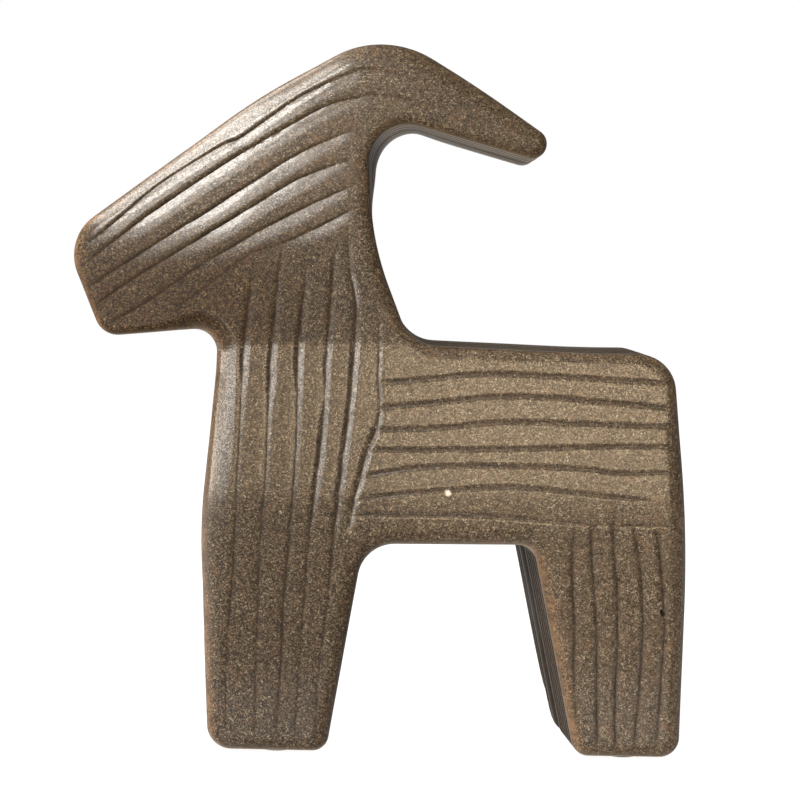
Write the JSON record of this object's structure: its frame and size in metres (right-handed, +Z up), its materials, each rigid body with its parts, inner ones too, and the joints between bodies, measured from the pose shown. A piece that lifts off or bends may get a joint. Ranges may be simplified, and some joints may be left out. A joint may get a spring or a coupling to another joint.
{
  "type": "yule goat figure",
  "caption": "Free-standing stoneware yule goat with a backswept horn, soft edges and combed grooves, hollow, with closed feet on felt pads.",
  "frame": {"origin": "middle of the figure's length and thickness, on the surface that it stands on", "axes": "+Z up, +X from the muzzle to the rump, +Y from the left face to the right face"},
  "size_m": [0.1834, 0.056, 0.2117],
  "materials": {
    "glaze": "satin speckled glaze",
    "bare_clay": "unglazed fired clay",
    "felt": "pressed felt"
  },
  "bodies": {
    "root": {"left_shell": "glaze", "right_shell": "glaze", "front_foot_plate": "bare_clay", "hind_foot_plate": "bare_clay", "front_left_pad": "felt", "front_right_pad": "felt", "hind_left_pad": "felt", "hind_right_pad": "felt"}
  },
  "joints": []
}
